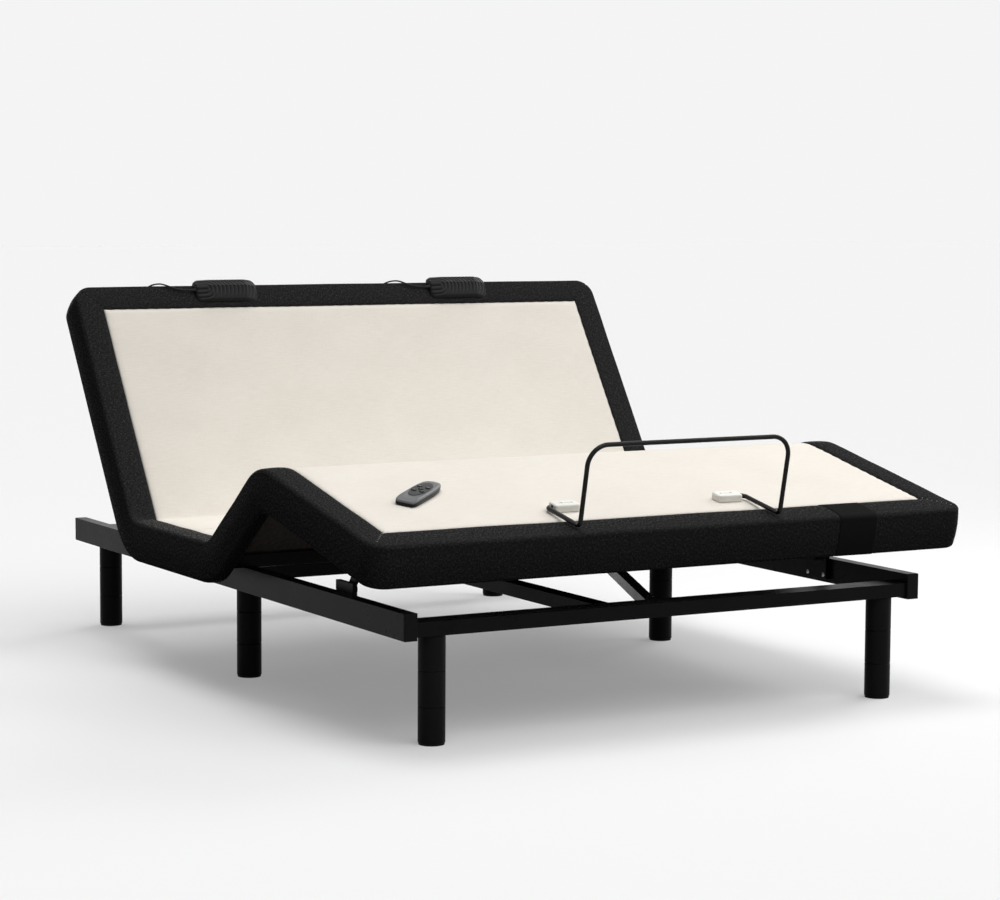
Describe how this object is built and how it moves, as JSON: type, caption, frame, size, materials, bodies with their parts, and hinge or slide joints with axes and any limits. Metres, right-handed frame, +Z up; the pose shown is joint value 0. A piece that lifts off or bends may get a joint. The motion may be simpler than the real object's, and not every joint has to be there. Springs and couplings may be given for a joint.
{
  "type": "adjustable bed base",
  "caption": "Adjustable bed base: folding padded head, seat, thigh and calf sections on a steel frame with screw drives, legs, mattress retainer and remote.",
  "frame": {"origin": "on the floor under the middle of the whole outline, with the sections raised as drawn", "axes": "+Y along the bed towards the head end, +X to the right seen from the foot, +Z up"},
  "size_m": [1.484, 1.9002, 0.9025],
  "materials": {
    "frame_paint": "semi-gloss black powder coat",
    "cap_plastic": "satin moulded plastic",
    "leg_black": "satin black",
    "glide_rubber": "dull",
    "drive_plastic": "fine moulded grain",
    "motor_steel": "satin",
    "zinc_steel": "zinc plated",
    "nut_plastic": "smooth engineering plastic",
    "plywood": "raw plywood",
    "cream_fabric": "plain cream cover cloth",
    "charcoal_fabric": "heathered charcoal weave",
    "sensor_rubber": "ribbed moulding",
    "cord_black": "smooth black",
    "retainer_metal": "dark bronze",
    "clip_plastic": "smooth",
    "remote_grey": "soft-touch dark grey",
    "remote_black": "gloss black",
    "key_rubber": "soft grey"
  },
  "bodies": {
    "frame": {"side_rail_left": "frame_paint", "side_rail_right": "frame_paint", "rail_end_caps": "cap_plastic", "foot_crossbar": "frame_paint", "mid_crossbar": "frame_paint", "head_crossbar": "frame_paint", "diagonal_brace": "frame_paint", "leg_upper_sections": "leg_black", "leg_middle_sections": "leg_black", "leg_lower_sections": "leg_black", "leg_glides": "glide_rubber", "drive_channels": "frame_paint", "drive_gearboxes": "drive_plastic", "drive_motors": "motor_steel", "control_box": "drive_plastic", "link_brackets": "frame_paint", "seat_cross_tubes": "frame_paint", "seat_board": "plywood", "seat_pad": "cream_fabric", "seat_border": "charcoal_fabric", "seat_hinge_leaves": "zinc_steel", "head_gusset": "charcoal_fabric", "thigh_gusset": "charcoal_fabric"},
    "head": {"head_board": "plywood", "head_pad": "cream_fabric", "head_border": "charcoal_fabric", "head_subframe": "frame_paint", "head_lever": "frame_paint", "head_hinge_leaves": "zinc_steel", "sensor_pads": "sensor_rubber", "sensor_cords": "cord_black", "cord_grommets": "cord_black"},
    "thigh": {"thigh_board": "plywood", "thigh_pad": "cream_fabric", "thigh_border": "charcoal_fabric", "thigh_subframe": "frame_paint", "thigh_lever": "frame_paint", "thigh_hinge_leaves": "zinc_steel", "knee_gusset": "charcoal_fabric"},
    "calf": {"calf_board": "plywood", "calf_pad": "cream_fabric", "calf_border": "charcoal_fabric", "calf_subframe": "frame_paint", "calf_link_ears": "frame_paint", "calf_hinge_leaves": "zinc_steel", "retainer_bar": "retainer_metal", "retainer_clips": "clip_plastic"},
    "links": {"calf_links": "zinc_steel"},
    "head_nut": {"head_drive_nut": "nut_plastic"},
    "leg_nut": {"leg_drive_nut": "nut_plastic"},
    "head_screw": {"head_drive_screw": "zinc_steel"},
    "leg_screw": {"leg_drive_screw": "zinc_steel"},
    "remote": {"remote_case": "remote_grey", "remote_face": "remote_black"},
    "key_1": {"remote_key_1": "key_rubber"},
    "key_2": {"remote_key_2": "key_rubber"},
    "key_3": {"remote_key_3": "key_rubber"},
    "key_4": {"remote_key_4": "key_rubber"},
    "key_5": {"remote_key_5": "key_rubber"}
  },
  "joints": [
    {"name": "head_lift", "type": "hinge", "parent": "frame", "child": "head", "pos_m": [0, 0.34811, 0.323], "axis": [1, 0, 0], "range_deg": [-56, 9], "deforming": ["head_gusset"]},
    {"name": "thigh_lift", "type": "hinge", "parent": "frame", "child": "thigh", "pos_m": [0, -0.10689, 0.323], "axis": [-1, 0, 0], "range_deg": [-37, 5], "deforming": ["thigh_gusset"]},
    {"name": "knee_fold", "type": "hinge", "parent": "thigh", "child": "calf", "pos_m": [0, -0.37669, 0.50001], "axis": [1, 0, 0], "range_deg": [-49, 6.62], "deforming": ["knee_gusset"]},
    {"name": "link_swing", "type": "hinge", "parent": "frame", "child": "links", "pos_m": [0, -0.53889, 0.284], "axis": [-1, 0, 0], "range_deg": [-54.09, 7.31]},
    {"name": "head_nut_travel", "type": "slide", "parent": "frame", "child": "head_nut", "axis": [0, 1, 0], "range_m": [-0.08357, 0.01343]},
    {"name": "leg_nut_travel", "type": "slide", "parent": "frame", "child": "leg_nut", "axis": [0, -1, 0], "range_m": [-0.05618, 0.00759]},
    {"name": "head_screw_turn", "type": "hinge", "parent": "frame", "child": "head_screw", "pos_m": [0.145, 0.15211, 0.2435], "axis": [0, 1, 0], "range_deg": [-2506.99, 402.91]},
    {"name": "leg_screw_turn", "type": "hinge", "parent": "frame", "child": "leg_screw", "pos_m": [-0.145, -0.03589, 0.2435], "axis": [0, -1, 0], "range_deg": [-1685.46, 227.77]},
    {"name": "remote_lift_off", "type": "slide", "parent": "calf", "child": "remote", "axis": [0, -0.2079, 0.9781], "range_m": [0, 0.25]},
    {"name": "key_1_press", "type": "slide", "parent": "remote", "child": "key_1", "axis": [0, 0.2079, -0.9781], "range_m": [0, 0.001], "stiffness_N_per_m": 600},
    {"name": "key_2_press", "type": "slide", "parent": "remote", "child": "key_2", "axis": [0, 0.2079, -0.9781], "range_m": [0, 0.001], "stiffness_N_per_m": 600},
    {"name": "key_3_press", "type": "slide", "parent": "remote", "child": "key_3", "axis": [0, 0.2079, -0.9781], "range_m": [0, 0.001], "stiffness_N_per_m": 600},
    {"name": "key_4_press", "type": "slide", "parent": "remote", "child": "key_4", "axis": [0, 0.2079, -0.9781], "range_m": [0, 0.001], "stiffness_N_per_m": 600},
    {"name": "key_5_press", "type": "slide", "parent": "remote", "child": "key_5", "axis": [0, 0.2079, -0.9781], "range_m": [0, 0.001], "stiffness_N_per_m": 600}
  ],
  "couplings": [
    {"joint": "knee_fold", "follows": "thigh_lift", "ratio": 1.3243},
    {"joint": "link_swing", "follows": "thigh_lift", "ratio": 1.4618},
    {"joint": "head_nut_travel", "follows": "head_lift", "m_per_rad": 0.0855},
    {"joint": "leg_nut_travel", "follows": "thigh_lift", "m_per_rad": 0.087},
    {"joint": "head_screw_turn", "follows": "head_lift", "ratio": 44.768},
    {"joint": "leg_screw_turn", "follows": "thigh_lift", "ratio": 45.553}
  ]
}
